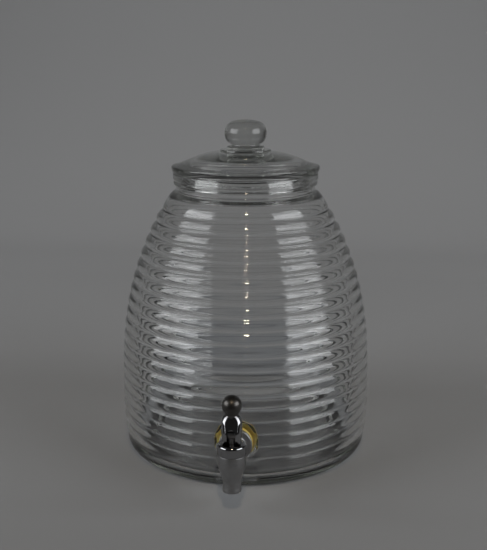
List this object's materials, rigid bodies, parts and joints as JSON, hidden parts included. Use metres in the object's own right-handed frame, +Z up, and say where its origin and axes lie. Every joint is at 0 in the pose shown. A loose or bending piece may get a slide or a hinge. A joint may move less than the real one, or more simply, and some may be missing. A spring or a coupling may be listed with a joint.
{
  "type": "glass detergent dispenser jar",
  "caption": "Clear glass jar with horizontal beehive ribs, a lift-off glass lid with a ball knob, and a lever tap low on the front for pouring liquid detergent.",
  "frame": {"origin": "centre of the foot ring, on the surface that the jar stands on", "axes": "+Z up along the jar's axis; -Y towards the tap at the front; +X to the right of someone facing the tap"},
  "size_m": [0.24, 0.2936, 0.3159],
  "materials": {
    "clear_glass": "clear, polished",
    "satin_metal": "satin plated metal",
    "bright_chrome": "dark mirror chrome plate, dulled on the grip",
    "aged_silicone": "translucent silicone, yellowed",
    "clear_silicone": "milky silicone",
    "black_rubber": "black rubber",
    "white_plastic": "moulded, off-white",
    "steel": "drawn stainless steel"
  },
  "bodies": {
    "jar": {"glass_jar": "clear_glass", "tap_body": "satin_metal", "tap_cap": "bright_chrome", "cap_gasket": "clear_silicone", "return_spring": "steel", "outer_washer": "aged_silicone", "inner_washer": "aged_silicone", "lock_nut": "white_plastic"},
    "lid": {"glass_lid": "clear_glass"},
    "stem": {"valve_stem": "satin_metal", "stem_o_ring": "black_rubber", "valve_plug": "clear_silicone"},
    "lever": {"tap_lever": "bright_chrome", "lever_pin": "steel"}
  },
  "joints": [
    {"name": "lid_lift", "type": "slide", "parent": "jar", "child": "lid", "axis": [0, 0, 1], "range_m": [0, 0.08]},
    {"name": "stem_lift", "type": "slide", "parent": "jar", "child": "stem", "axis": [0, 0, 1], "range_m": [0, 0.00321], "deforming": ["return_spring"]},
    {"name": "lever_tilt", "type": "hinge", "parent": "stem", "child": "lever", "pos_m": [0, -0.16157, 0.0706], "axis": [1, 0, 0], "range_deg": [0, 90], "stiffness_Nm_per_rad": 0.02, "springref_deg": -45.84}
  ],
  "couplings": [
    {"joint": "stem_lift", "follows": "lever_tilt", "m_per_rad": 0.0020372}
  ]
}
